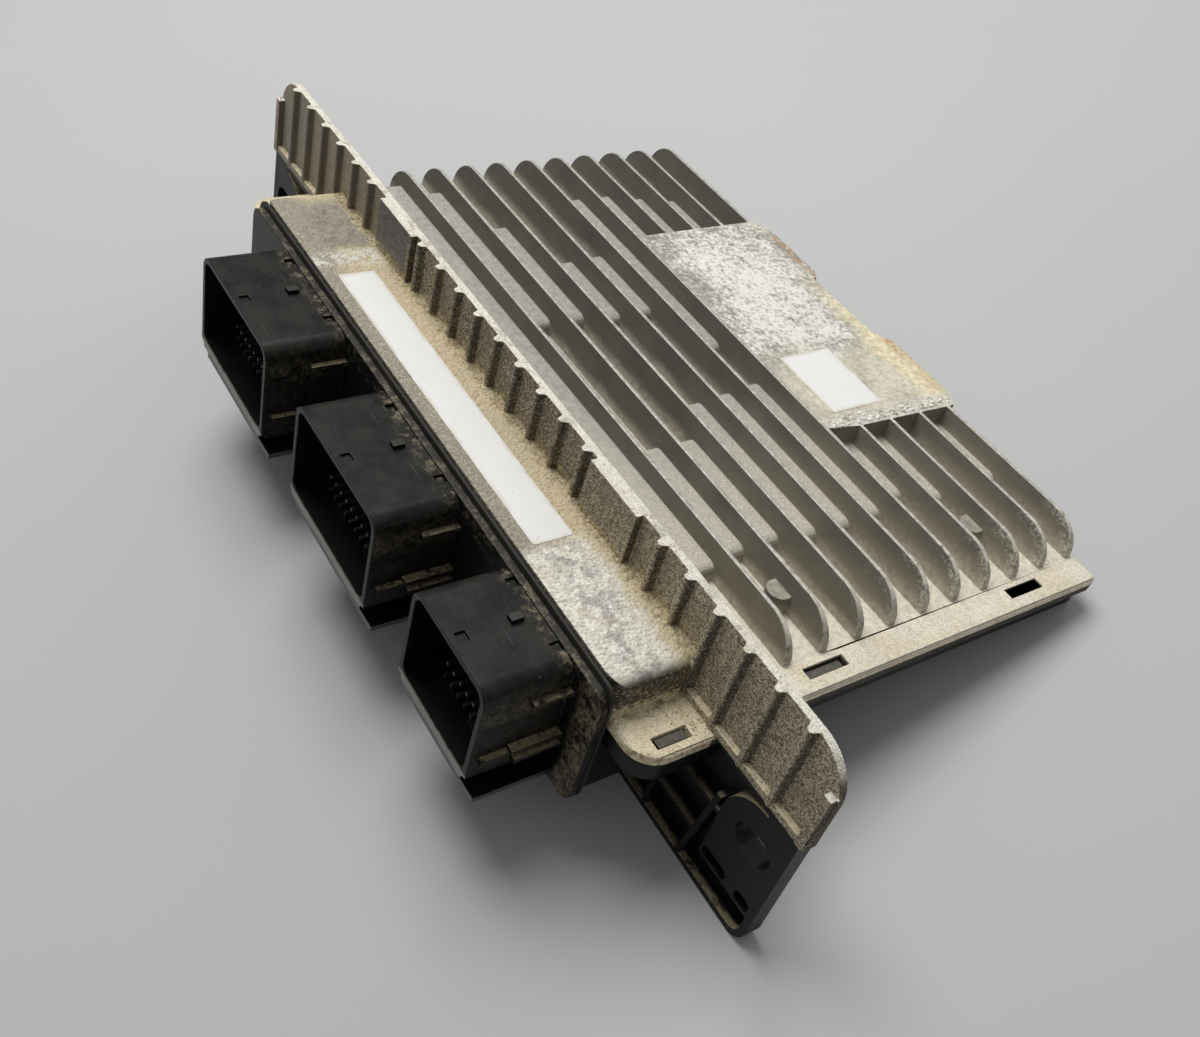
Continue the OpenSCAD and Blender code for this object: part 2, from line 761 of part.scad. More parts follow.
module pressure_sensor() color("#2d2e31") place() {
    chip(88, 62, 8, 8, 1.6);
    translate([88, 62, board_top]) cylinder(r = 1.6, h = 2.4);
}

module board_screws() color("#9b9b98") place() {
    for (p = screw_spots) {
        translate([p[0], p[1], board_under - 1.6]) cylinder(r = 3, h = 1.6);
        translate([p[0], p[1], board_under - 0.5]) cylinder(r = 1.4, h = board_t + 4.4);
    }
}

module vent_membrane() color("#d9d7d0") place()
    translate([70, 120, -base_low]) cylinder(r = 4, h = 1.2);

heatsink_housing();
base_tray();
connector_header();
header_seal();
base_seal();
front_label();
rear_label();
circuit_board();
far_socket_pins();
mid_socket_pins();
near_socket_pins();
power_blades();
microcontroller();
memory_chip();
supply_chip();
driver_chips();
power_transistors();
thermal_pads();
buffer_capacitors();
supply_inductors();
clock_crystal();
shunt_resistors();
ceramic_capacitors();
clamp_diodes();
pressure_sensor();
board_screws();
vent_membrane();
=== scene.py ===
"""Looks of the engine control unit: a worn finned casting on a black moulded base with three sockets."""
import math
import random

import bmesh
import bpy
from mathutils import Matrix, Vector


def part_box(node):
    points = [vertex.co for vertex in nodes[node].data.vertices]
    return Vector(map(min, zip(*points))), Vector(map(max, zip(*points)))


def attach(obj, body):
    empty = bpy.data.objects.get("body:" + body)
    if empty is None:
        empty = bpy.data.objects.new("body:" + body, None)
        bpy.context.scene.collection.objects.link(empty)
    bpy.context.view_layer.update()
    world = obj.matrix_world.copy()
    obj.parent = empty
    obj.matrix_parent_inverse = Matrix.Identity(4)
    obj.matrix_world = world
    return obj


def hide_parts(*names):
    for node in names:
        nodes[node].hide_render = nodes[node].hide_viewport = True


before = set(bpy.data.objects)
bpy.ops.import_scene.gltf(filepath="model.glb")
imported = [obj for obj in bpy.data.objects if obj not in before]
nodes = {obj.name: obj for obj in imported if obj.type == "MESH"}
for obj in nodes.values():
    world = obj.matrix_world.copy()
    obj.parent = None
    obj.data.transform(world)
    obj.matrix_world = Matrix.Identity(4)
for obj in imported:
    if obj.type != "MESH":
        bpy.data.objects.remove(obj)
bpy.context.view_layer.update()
scene = bpy.context.scene
scene.view_settings.view_transform = "Standard"
MM = 0.001
# Tops of the plate, the shelf, the raised field and the wall's lips in the row frame, in millimetres
PLATE = 15.6
SHELF = PLATE + 13.4
FIELD = PLATE + 11.7
WALL_LIP = PLATE + 2.4
# Heights over the plate: the raised floors between the fins, and the soft lower border of the fins' tips
RAISED_FLOORS = (4.6, 5.2)
FIN_TIP = (10.6, 11.3)
# Middle of the arc at the fins' near ends, and of a mounting hole, along the wall
FIN_END = 104.1
HOLE = 150.7
# Middle and width of each socket, and the thickness of its wall
SOCKETS = ((-62.7, 52.6), (13.0, 52.6), (81.2, 38.4))
SOCKET_WALL = 1.2
# Middle and size of the strip in front of the raised field
STRIP_AT = (-7.9, 100.95, FIELD - 2.0)
STRIP_SIZE = (112.2, 1.3, 3.9)
# Faces that meet at less than FLAT are one face; edges over SHARP are rounded
FLAT = math.radians(0.4)
SHARP = math.radians(28)


class Look:
    """One node material and the patterns that it is made of.

    Places and lengths are millimetres of the row frame, and height is counted from the plate's top.
    Patterns, masks and shares run from 0 to 1. Each noise has a seed of its own.
    """

    def __init__(self, name, rough=0.6, metal=0.0):
        self.mat = bpy.data.materials.new(name)
        self.mat.use_nodes = True
        self.tree = self.mat.node_tree
        self.bsdf = self.tree.nodes["Principled BSDF"]
        self.bsdf.inputs["Roughness"].default_value = rough
        self.bsdf.inputs["Metallic"].default_value = metal
        coord = self.tree.nodes.new("ShaderNodeTexCoord")
        grow = self.tree.nodes.new("ShaderNodeVectorMath")
        grow.operation = "SCALE"
        grow.inputs["Scale"].default_value = 1 / MM
        self.tree.links.new(coord.outputs["Object"], grow.inputs[0])
        self.mm = grow.outputs["Vector"]
        self.x, self.y, self.z = self.split(self.mm)
        shape = self.tree.nodes.new("ShaderNodeNewGeometry")
        self.nx, self.ny, self.nz = self.split(shape.outputs["True Normal"])
        self.up = self.step(self.nz, 0.35, 0.85)
        self.height = self.math("SUBTRACT", self.z, PLATE)
        self.tilt = None

    def split(self, vector):
        node = self.tree.nodes.new("ShaderNodeSeparateXYZ")
        self.tree.links.new(vector, node.inputs[0])
        return node.outputs[0], node.outputs[1], node.outputs[2]

    def put(self, value, socket):
        if isinstance(value, bpy.types.NodeSocket):
            self.tree.links.new(value, socket)
        elif isinstance(value, tuple):
            socket.default_value = value if len(value) == len(socket.default_value) else (*value, 1)
        else:
            socket.default_value = value

    def math(self, op, a, b=0.0, clamp=False):
        node = self.tree.nodes.new("ShaderNodeMath")
        node.operation = op
        node.use_clamp = clamp
        self.put(a, node.inputs[0])
        self.put(b, node.inputs[1])
        return node.outputs[0]

    def plus(self, a, b):
        return self.math("ADD", a, b)

    def times(self, *values):
        out = values[0]
        for v in values[1:]:
            out = self.math("MULTIPLY", out, v)
        return out

    def most(self, *values):
        out = values[0]
        for v in values[1:]:
            out = self.math("MAXIMUM", out, v)
        return out

    def inv(self, a):
        return self.math("SUBTRACT", 1.0, a, True)

    def shift(self, v, cloud, reach):
        """A coordinate moved to and fro by up to half of reach, so that a border is ragged."""
        return self.plus(v, self.times(self.math("SUBTRACT", cloud, 0.5), reach))

    def step(self, v, low, high):
        """0 below low and 1 above high; the other way round where high is the smaller."""
        node = self.tree.nodes.new("ShaderNodeMapRange")
        node.interpolation_type = "SMOOTHSTEP"
        flip = high < low
        self.put(v, node.inputs["Value"])
        node.inputs["From Min"].default_value = min(low, high)
        node.inputs["From Max"].default_value = max(low, high)
        node.inputs["To Min"].default_value = 1 if flip else 0
        node.inputs["To Max"].default_value = 0 if flip else 1
        return node.outputs["Result"]

    def band(self, v, low, high, soft):
        return self.times(self.step(v, low - soft, low + soft), self.step(v, high + soft, high - soft))

    def field(self, x0, x1, y0, y1, soft=2.0):
        return self.times(self.band(self.x, x0, x1, soft), self.band(self.y, y0, y1, soft))

    def noise(self, size, detail=4.0, rough=0.6, seed=0.0, warp=0.0):
        """Cloudy pattern from 0 to 1 whose blotches are about size millimetres across."""
        node = self.tree.nodes.new("ShaderNodeTexNoise")
        node.noise_dimensions = "4D"
        node.inputs["W"].default_value = seed
        node.inputs["Scale"].default_value = 1.0 / size
        node.inputs["Detail"].default_value = detail
        node.inputs["Roughness"].default_value = rough
        node.inputs["Distortion"].default_value = warp
        self.tree.links.new(self.mm, node.inputs["Vector"])
        return node.outputs[0]

    def streak(self, scale, squeeze, seed):
        """Thin scratches: a noise drawn out along the axis that is squeezed most."""
        node = self.tree.nodes.new("ShaderNodeMapping")
        node.inputs["Scale"].default_value = squeeze
        self.tree.links.new(self.mm, node.inputs["Vector"])
        noise = self.tree.nodes.new("ShaderNodeTexNoise")
        noise.noise_dimensions = "4D"
        noise.inputs["W"].default_value = seed
        noise.inputs["Scale"].default_value = scale
        noise.inputs["Detail"].default_value = 2
        self.tree.links.new(node.outputs["Vector"], noise.inputs["Vector"])
        return self.step(noise.outputs[0], 0.68, 0.74)

    def cells(self, size, seed=0.0):
        """Grains about size millimetres across: the distance to a grain's middle, and its own number."""
        node = self.tree.nodes.new("ShaderNodeTexVoronoi")
        node.voronoi_dimensions = "4D"
        node.inputs["W"].default_value = seed
        node.inputs["Scale"].default_value = 1.0 / size
        self.tree.links.new(self.mm, node.inputs["Vector"])
        own = self.tree.nodes.new("ShaderNodeSeparateColor")
        self.tree.links.new(node.outputs["Color"], own.inputs[0])
        return node.outputs["Distance"], own.outputs[0]

    def spots(self, size, low, high, detail=3.0, seed=0.0, rough=0.6):
        return self.step(self.noise(size, detail, rough, seed), low, high)

    def mix(self, share, a, b):
        node = self.tree.nodes.new("ShaderNodeMix")
        node.data_type = "RGBA"
        self.put(share, node.inputs[0])
        self.put(a, node.inputs[6])
        self.put(b, node.inputs[7])
        return node.outputs[2]

    def mottled(self, colour, share, spread):
        """A colour that runs from darker to lighter by spread as share goes from 0 to 1."""
        dark = tuple(c * (1 - spread) for c in colour)
        light = tuple(min(c * (1 + spread), 0.95) for c in colour)
        return self.mix(share, dark, light)

    def sandy(self, own, base, dark, light, low=0.3, high=0.75):
        """Grains of three tones: dark below low, light above high, base between."""
        tone = self.mix(self.step(own, low + 0.04, low - 0.04), base, dark)
        return self.mix(self.step(own, high - 0.04, high + 0.04), tone, light)

    def level(self, share, a, b):
        node = self.tree.nodes.new("ShaderNodeMix")
        self.put(share, node.inputs[0])
        self.put(a, node.inputs[2])
        self.put(b, node.inputs[3])
        return node.outputs[0]

    def bump(self, height, depth, strength=1.0):
        """Adds relief of about depth millimetres."""
        node = self.tree.nodes.new("ShaderNodeBump")
        node.inputs["Distance"].default_value = depth * MM
        self.put(strength, node.inputs["Strength"])
        self.put(height, node.inputs["Height"])
        if self.tilt is not None:
            self.tree.links.new(self.tilt, node.inputs["Normal"])
        self.tilt = node.outputs["Normal"]

    def done(self, colour, rough=None, metal=None):
        self.put(colour, self.bsdf.inputs["Base Color"])
        if rough is not None:
            self.put(rough, self.bsdf.inputs["Roughness"])
        if metal is not None:
            self.put(metal, self.bsdf.inputs["Metallic"])
        if self.tilt is not None:
            self.tree.links.new(self.tilt, self.bsdf.inputs["Normal"])
        return self.mat


def start_casting():
    """Starts the casting's material, with the patterns and sand tones that its regions share."""
    k = Look("cast_aluminium")
    k.bsdf.inputs["Specular IOR Level"].default_value = 0.3
    k.fine = k.step(k.noise(0.55, 3, 0.7, 1), 0.3, 0.7)
    k.grain = k.step(k.noise(2.0, 6, 0.72, 2), 0.33, 0.67)
    k.cloud = k.noise(14, 5, 0.6, 3)
    k.dome, k.sand = k.cells(0.45, 5)
    k.lumps, k.pebble = k.cells(1.1, 6)
    k.away = k.math("ABSOLUTE", k.x)
    k.beige_end = k.step(k.shift(k.x, k.cloud, 50.0), -8, 78)
    k.gold = k.sandy(k.pebble, (0.52, 0.42, 0.25), (0.34, 0.27, 0.16), (0.66, 0.56, 0.36), 0.3, 0.7)
    k.heaped = k.sandy(k.pebble, (0.7, 0.6, 0.4), (0.46, 0.375, 0.23), (0.84, 0.75, 0.54), 0.28, 0.66)
    return k


def mark_regions(k):
    """Masks of the casting's regions, by place and by the way a face points."""
    k.at_wall = k.times(k.step(k.y, 5.5, 4.5), k.step(k.height, -0.6, 0.2), k.step(k.y, -2.5, -1.5))
    k.rear_face = k.step(k.ny, 0.5, 0.9)
    k.foot = k.times(k.step(k.shift(k.height, k.grain, 3.5), 16.0, 14.2), k.step(k.away, 111, 107),
                     k.step(k.height, 12, 13))
    k.slope = k.times(k.step(k.away, 106, 108), k.step(k.y, -1.0, -2.0), k.step(k.height, 11.5, 9.5))
    k.edge = k.times(k.step(k.x, 116.3, 117.3), k.step(k.height, 4, 3), k.step(k.y, 4, 6))
    k.ear = k.times(k.step(k.y, 2.0, 1.2), k.step(k.height, 2.2, 1.6))
    k.shelf = k.times(k.step(k.y, 3.4, 2.4), k.step(k.height, 8, 9), k.step(k.height, 16, 15))
    k.field_top = k.times(k.field(-66, 53.5, 100.6, 165, 0.4), k.step(k.height, 10.4, 11.2))
    k.crusty = k.most(k.step(k.shift(k.x, k.cloud, 10.0), 43, 47),
                      k.times(k.step(k.x, -54, -59), k.step(k.y, 146, 152)))


def fin_sides(k):
    """Fin sides: even grey grime, browner at the near end, dusty at the foot; painted shade, near black,
    below the plate's top.
    """
    side = k.mix(k.beige_end, k.mottled((0.158, 0.149, 0.127), k.cloud, 0.35),
                 k.mottled((0.22, 0.2, 0.158), k.cloud, 0.45))
    dusty = k.mottled((0.5, 0.46, 0.375), k.grain, 0.25)
    ragged = k.shift(k.height, k.cloud, 6.0)
    side = k.mix(k.times(k.step(ragged, 4.6, 0.4), 0.8), side, dusty)
    high_dust = k.times(k.step(ragged, 9.0, 2.0), k.beige_end, k.step(k.y, 50, 100))
    side = k.mix(k.times(high_dust, 0.55), side, dusty)
    # Painted shade: side faces below the plate's top, such as its edges and underside, are near black.
    painted_shade_below = k.mottled((0.06, 0.053, 0.04), k.grain, 0.6)
    return k.mix(k.step(k.height, 0.1, -0.3), side, painted_shade_below)


def wall_grit(k):
    """Wall: brown grit, painted shade near black on the near sides of the ribs, golden at the foot, plain at
    the back.
    """
    sand = k.sand
    grit = k.sandy(sand, (0.26, 0.222, 0.158), (0.13, 0.108, 0.073), (0.52, 0.45, 0.325), 0.32, 0.76)
    grit = k.mix(k.times(k.step(k.x, 30, 110), 0.65), grit, k.mottled((0.48, 0.412, 0.298), sand, 0.78))
    clouded = k.times(k.step(k.cloud, 0.45, 0.7), 0.45)
    grit = k.mix(clouded, grit, k.mottled((0.3, 0.26, 0.185), k.fine, 0.25))
    pale = k.mottled((0.4, 0.355, 0.275), k.noise(1.4, 5, 0.7, 16), 0.55)
    grit = k.mix(k.times(k.step(k.x, -62, -96), 0.75), grit, pale)
    smooth = k.times(k.field(-76.5, -56, -1.2, 0.0, 0.6), k.step(k.shift(k.height, k.cloud, 14.0), 14, 19))
    grit = k.mix(k.times(smooth, 0.85), grit, k.mottled((0.16, 0.158, 0.155), k.grain, 0.25))
    grit = k.mix(k.foot, grit, k.gold)
    grit = k.mix(k.rear_face, grit, k.mottled((0.25, 0.235, 0.197), k.cloud, 0.3))
    # Painted shade: faces turned to the near end, such as the ribs' near sides, are darkened almost to black,
    # less so at the far end.
    shade = k.sandy(sand, (0.1, 0.085, 0.06), (0.05, 0.042, 0.031), (0.26, 0.222, 0.155), 0.38, 0.84)
    shade = k.mix(k.step(k.x, -60, -100), shade, k.mottled((0.15, 0.13, 0.098), k.fine, 0.35))
    return k.mix(k.times(k.step(k.nx, 0.25, 0.95), 0.9), grit, shade)


def upright_tone(k):
    """Upright faces: fins, wall, front of the shelf and the slopes down to the ears."""
    side = k.mix(k.at_wall, fin_sides(k), wall_grit(k))
    low_front = k.times(k.step(k.y, -2.0, -3.0), k.step(k.height, 13.2, 12.0))
    speckled = k.mix(k.step(k.grain, 0.5, 0.9), (0.035, 0.03, 0.022), (0.26, 0.225, 0.165))
    side = k.mix(low_front, side, speckled)
    dark_grit = k.sandy(k.sand, (0.13, 0.11, 0.075), (0.05, 0.042, 0.03), (0.45, 0.38, 0.25), 0.35, 0.82)
    piled = k.step(k.shift(k.height, k.grain, 4.0), 4.0, 1.6)
    return k.mix(k.slope, side, k.mix(piled, dark_grit, k.heaped))


def floor_tops(k):
    """Valley floors, raised floors, round bosses and the worn tips of the fins."""
    grain = k.grain
    top = k.mix(k.beige_end, k.mottled((0.46, 0.433, 0.37), grain, 0.2),
                k.mottled((0.72, 0.665, 0.54), grain, 0.18))
    raised = k.mix(k.beige_end, k.mottled((0.39, 0.372, 0.325), grain, 0.2),
                   k.mottled((0.5, 0.468, 0.39), k.fine, 0.32))
    top = k.mix(k.times(k.step(k.height, 3.0, 3.8), 0.9), top, raised)
    behind = k.times(k.step(k.y, 32, 8), k.step(k.y, 4, 4.5), k.beige_end)
    top = k.mix(k.times(behind, k.step(k.cloud, 0.3, 0.6), 0.7), top, (0.56, 0.49, 0.37))
    top = k.mix(k.step(k.height, *FIN_TIP), top, k.mottled((0.44, 0.42, 0.37), grain, 0.3))
    boss = k.band(k.height, 5.5, 8.5, 0.2)
    return k.mix(boss, top, k.mottled((0.36, 0.333, 0.275), grain, 0.3))


def rim_tone(k):
    """Wall rim: cream crust with brown gaps, dull in places."""
    rim = k.mottled((0.75, 0.71, 0.615), k.sand, 0.18)
    gaps = k.times(k.spots(2.6, 0.52, 0.64, 5, 17), 0.65)
    rim = k.mix(gaps, rim, k.mottled((0.42, 0.375, 0.285), k.sand, 0.4))
    dull = k.times(k.spots(18, 0.55, 0.66, 3, 7), 0.6)
    return k.mix(dull, rim, k.mottled((0.34, 0.315, 0.26), k.sand, 0.4))


def edge_tone(k):
    """Near rim of the plate: beige dust with paler and browner patches."""
    beige = k.mottled((0.7, 0.625, 0.48), k.sand, 0.2)
    paler = k.times(k.step(k.cloud, 0.42, 0.62), 0.6)
    beige = k.mix(paler, beige, k.mottled((0.78, 0.74, 0.645), k.sand, 0.16))
    browner = k.times(k.spots(4, 0.5, 0.66, 6, 18, 0.7), 0.5)
    return k.mix(browner, beige, k.mottled((0.5, 0.425, 0.295), k.sand, 0.3))


def ear_tone(k):
    """The two ears: tan dust, with sand heaped towards the slope."""
    tan = k.mottled((0.7, 0.61, 0.435), k.sand, 0.2)
    browner = k.times(k.spots(4, 0.5, 0.66, 5, 19), 0.5)
    tan = k.mix(browner, tan, k.mottled((0.5, 0.41, 0.265), k.sand, 0.25))
    return k.mix(k.step(k.shift(k.away, k.grain, 3.0), 116.0, 112.6), tan, k.heaped)


def white_end(k):
    """White corrosion at the shelf's near end, with bare and tan patches."""
    fine = k.fine
    white = k.mix(k.spots(2.4, 0.3, 0.66, 6, 27, 0.75), k.mottled((0.52, 0.485, 0.4), fine, 0.2),
                  k.mottled((0.87, 0.835, 0.735), fine, 0.09))
    bare = k.times(k.spots(4.5, 0.47, 0.57, 6, 8, 0.7), k.band(k.shift(k.y, k.cloud, 8.0), -20, -8, 4))
    white = k.mix(k.times(bare, 0.85), white, k.mottled((0.37, 0.36, 0.33), fine, 0.3))
    tan = k.times(k.spots(7, 0.52, 0.66, 5, 29), 0.5)
    return k.mix(tan, white, k.mottled((0.58, 0.5, 0.355), fine, 0.2))


def shelf_tone(k):
    """Shelf: tan dust at the back, barer metal in front, grey far end, white near end."""
    cloud = k.cloud
    grain = k.grain
    dust = k.mix(k.times(grain, 0.5), k.mottled((0.53, 0.44, 0.285), k.sand, 0.18), (0.63, 0.545, 0.38))
    flecked = k.times(k.spots(0.9, 0.56, 0.66, 3, 20), 0.6)
    bare = k.mix(flecked, k.mottled((0.33, 0.295, 0.232), k.sand, 0.25), (0.6, 0.565, 0.48))
    along = k.shift(k.y, cloud, 18.0)
    tone = k.mix(k.step(along, -20, -12), bare, dust)
    clear = k.times(k.step(k.shift(k.x, cloud, 16.0), -74, -80), k.step(k.x, -108, -100),
                    k.step(along, -21, -15))
    smear = k.mottled((0.255, 0.236, 0.2), grain, 0.35)
    tone = k.mix(k.times(clear, k.step(cloud, 0.66, 0.5), 0.85), tone, smear)
    scrape = k.times(clear, k.spots(3, 0.54, 0.66, 5, 34, 0.7), k.step(along, -12, -18))
    tone = k.mix(k.times(scrape, 0.7), tone, (0.62, 0.6, 0.53))
    chalk = k.times(k.band(k.shift(k.x, cloud, 8.0), -75, -67, 2), k.step(grain, 0.2, 0.7))
    tone = k.mix(chalk, tone, (0.68, 0.655, 0.58))
    near = k.times(k.step(k.shift(k.x, cloud, 10.0), 61, 68), k.step(along, -2, -8))
    tone = k.mix(near, tone, white_end(k))
    return k.mix(k.times(k.step(k.shift(k.y, cloud, 6.0), -3.5, -1.0), 0.7), tone, k.gold)


def field_tone(k):
    """Raised field: grey edges, white mottle, tan near half, straw and rust at the rear."""
    cloud = k.cloud
    grain = k.grain
    grey = k.mottled((0.31, 0.292, 0.245), grain, 0.3)
    heart = k.times(k.step(k.x, -72, -40), k.step(k.x, 26, -10), k.step(k.y, 96, 118),
                    k.step(k.y, 162, 138))
    heart = k.shift(heart, k.noise(9, 5, 0.65, 9), 0.9)
    flecks = k.shift(k.noise(1.7, 5, 0.72, 10), k.noise(6, 4, 0.6, 38), 0.6)
    share = k.step(k.plus(k.times(heart, 0.15), flecks), 0.46, 0.71)
    mottle = k.mix(k.times(share, 0.95), grey, k.mottled((0.8, 0.78, 0.715), k.fine, 0.14))
    drab = k.mix(k.times(k.step(cloud, 0.45, 0.62), 0.6), k.mottled((0.64, 0.59, 0.475), grain, 0.2),
                 k.mottled((0.43, 0.392, 0.31), grain, 0.25))
    mottle = k.mix(k.times(k.step(k.shift(k.x, cloud, 40.0), 2, 28), 0.9), mottle, drab)
    rear = k.times(k.step(k.shift(k.y, cloud, 18.0), 144, 153), k.step(k.x, -38, 8))
    mottle = k.mix(rear, mottle, k.mottled((0.7, 0.62, 0.42), grain, 0.28))
    rust = k.mix(k.fine, (0.3, 0.15, 0.055), (0.55, 0.34, 0.15))
    rusty = k.times(k.step(k.y, 154.5, 157), k.step(k.x, -56, -50), k.step(grain, 0.3, 0.7),
                    k.step(cloud, 0.4, 0.52))
    mottle = k.mix(k.times(rusty, 0.85), mottle, rust)
    crust = k.mix(k.noise(1.8, 5, 0.7, 35), k.mottled((0.4, 0.36, 0.285), k.pebble, 0.3),
                  k.mottled((0.84, 0.81, 0.73), k.pebble, 0.14))
    return k.mix(k.times(k.crusty, 0.9), mottle, crust)


def corrode_ends(k, colour):
    """Corrosion round the near ends of the fins, most on the rear ones."""
    out = k.math("SUBTRACT", k.x, FIN_END)
    arc = k.math("SQRT", k.plus(k.times(out, out), k.times(k.height, k.height)))
    past = k.times(k.step(k.x, 98, 106), k.step(k.x, 117, 116))
    ends = k.times(k.step(k.shift(arc, k.cloud, 5.0), 7.8, 10.8), past, k.step(k.y, 48, 90))
    worn = k.times(k.step(arc, 11.1, 11.5), past, k.step(k.height, 0.3, 1.0), k.step(k.grain, 0.1, 0.6),
                   k.step(k.y, 25, 30))
    chalk = k.times(ends, k.spots(0.9, 0.48, 0.6, 4, 13))
    pits = k.times(ends, k.spots(0.8, 0.56, 0.64, 4, 12))
    colour = k.mix(k.times(worn, 0.7), colour, (0.58, 0.545, 0.465))
    colour = k.mix(k.times(chalk, 0.8), colour, (0.7, 0.67, 0.585))
    return k.mix(k.times(pits, 0.4), colour, (0.06, 0.054, 0.042))


def casting_look():
    """Die-cast aluminium: silver on tops, grime on the sides, dust, white corrosion and rust by place."""
    k = start_casting()
    mark_regions(k)
    top = k.mix(k.step(k.height, 19, 20), floor_tops(k), rim_tone(k))
    lip = k.times(k.step(k.y, 4, 3), k.step(k.y, -2, -1.2), k.step(k.height, 6, 4))
    top = k.mix(lip, top, k.mottled((0.68, 0.58, 0.41), k.grain, 0.25))
    top = k.mix(k.edge, top, edge_tone(k))
    top = k.mix(k.ear, top, ear_tone(k))
    top = k.mix(k.shelf, top, shelf_tone(k))
    top = k.mix(k.field_top, top, field_tone(k))
    colour = corrode_ends(k, k.mix(k.up, upright_tone(k), top))
    film = k.step(k.noise(45, 3, 0.5, 4), 0.5, 0.7)
    colour = k.mix(k.times(film, 0.12), colour, (0.25, 0.225, 0.17))

    k.bump(k.noise(1.1, 4, 0.7, 14), 0.4, k.level(k.most(k.shelf, k.edge), 0.3, 0.1))
    skin = k.most(k.times(k.at_wall, k.inv(k.rear_face)), k.times(k.shelf, 0.12), k.times(k.ear, 0.5),
                  k.times(k.field_top, 0.15), k.times(k.edge, 0.45), k.slope)
    k.bump(k.inv(k.dome), 0.35, k.times(skin, 0.8))
    k.bump(k.inv(k.lumps), 0.9, k.times(k.most(k.foot, k.times(k.field_top, k.crusty)), 0.8))
    shine = k.times(k.step(k.height, *FIN_TIP), k.up, k.inv(k.field_top), k.inv(k.shelf),
                    k.step(k.y, 20, 30))
    return k.done(colour, k.level(shine, 0.78, 0.5), k.times(shine, 0.4))


def header_look():
    """Black glass-filled plastic: dust on the rails and the flange, clean and dark inside the sockets."""
    k = Look("header_plastic", 0.4)
    k.bsdf.inputs["Specular IOR Level"].default_value = 0.18
    cloud = k.noise(9, 5, 0.6, 21)
    fine = k.step(k.noise(0.7, 3, 0.65, 22), 0.3, 0.7)
    patch = k.spots(2.2, 0.47, 0.64, 6, 23, 0.7)
    ragged = k.spots(3, 0.34, 0.5, 4, 26, 0.65)
    front = k.step(k.ny, -0.5, -0.85)
    spans = []
    for middle, width in SOCKETS:
        half = width / 2 - SOCKET_WALL
        spans.append(k.band(k.x, middle - half, middle + half, 0.3))
    inside = k.times(k.most(*spans), k.band(k.height, -23.6, 7.6, 0.3))
    inside = k.times(inside, k.step(k.y, -28.4, -29.2), k.step(k.y, -53.3, -52.8))
    outside = k.inv(inside)
    colour = k.mix(cloud, (0.0035, 0.0035, 0.0038), (0.008, 0.0078, 0.0073))
    # A grey film lies on top faces. The raised lugs' tops are painted paler: a painted highlight, with some
    # rubbed wear.
    lid = k.times(k.up, k.step(k.height, 6, 8))
    film = k.mix(k.step(cloud, 0.35, 0.65), (0.008, 0.0076, 0.007), (0.021, 0.0195, 0.0165))
    colour = k.mix(lid, colour, film)
    colour = k.mix(k.times(k.up, k.step(k.height, 9.4, 9.7), 0.8), colour, (0.05, 0.046, 0.04))
    colour = k.mix(k.times(lid, k.spots(1.3, 0.52, 0.7, 5, 37, 0.7), 0.35), colour, (0.05, 0.045, 0.036))
    streaky = k.step(k.noise(3.5, 6, 0.75, 36, 1.5), 0.4, 0.62)
    shoulder = k.plus(k.times(k.band(k.height, -4, 4, 2), 0.6), 0.28)
    sides = k.times(k.step(k.nx, 0.4, 0.8), k.step(k.height, 9, 6), outside, streaky, shoulder)
    colour = k.mix(sides, colour, k.mottled((0.1, 0.084, 0.058), fine, 0.5))
    tan = k.mix(fine, (0.17, 0.136, 0.082), (0.42, 0.345, 0.22))
    rails = k.times(k.up, k.band(k.height, -20.5, -14.0, 0.6), ragged)
    flange = k.times(front, k.step(k.y, -29.0, -28.2), k.step(k.y, -24, -26))
    # Painted shade: dust on the flange's slab is full only at its near end and patchy towards the socket, so
    # the slab's inner part stays black.
    near_end = k.step(k.shift(k.x, cloud, 7.0), 103.5, 106.5)
    slab = k.times(k.most(near_end, k.times(patch, k.step(k.height, 2, 6), 0.6)), flange)
    root = k.times(lid, k.step(k.shift(k.y, cloud, 8.0), -33, -28.5), patch, 0.6)
    ledge = k.times(k.up, k.step(k.height, 6.8, 5.8), k.step(k.height, -26, -24), ragged, 0.5)
    dust = k.times(k.most(rails, k.times(slab, streaky, 0.75), root, ledge), outside)
    colour = k.mix(k.times(dust, 0.9), colour, tan)
    # Painted sheen: the front faces of the mouths' lower lips and of the sill below them are light grey.
    painted_sheen_mouth = k.times(k.step(k.y, -52.9, -53.3), front, k.step(k.height, -22.6, -23.2))
    outward = k.most(front, k.times(k.step(k.nx, 0.5, 0.8), 0.5))
    painted_sheen_sill = k.times(outward, k.step(k.height, -27, -28), k.step(k.y, -30, -34))
    colour = k.mix(k.most(painted_sheen_mouth, k.times(painted_sheen_sill, 0.55)), colour, k.mottled((0.26, 0.258, 0.245), cloud, 0.3))
    flecks = k.times(k.spots(0.5, 0.62, 0.7, 4, 24), outside, k.plus(k.times(k.up, 0.4), 0.12))
    streaks = k.times(k.streak(1.3, (0.03, 0.9, 0.9), 28), lid, 0.5)
    colour = k.mix(k.times(k.most(flecks, streaks), 0.6), colour, (0.16, 0.148, 0.124))
    k.bump(k.noise(0.5, 2, 0.5, 25), 0.12, 0.3)
    rough = k.level(k.most(dust, k.times(lid, 0.1)), k.level(cloud, 0.27, 0.42), 0.9)
    return k.done(colour, rough)


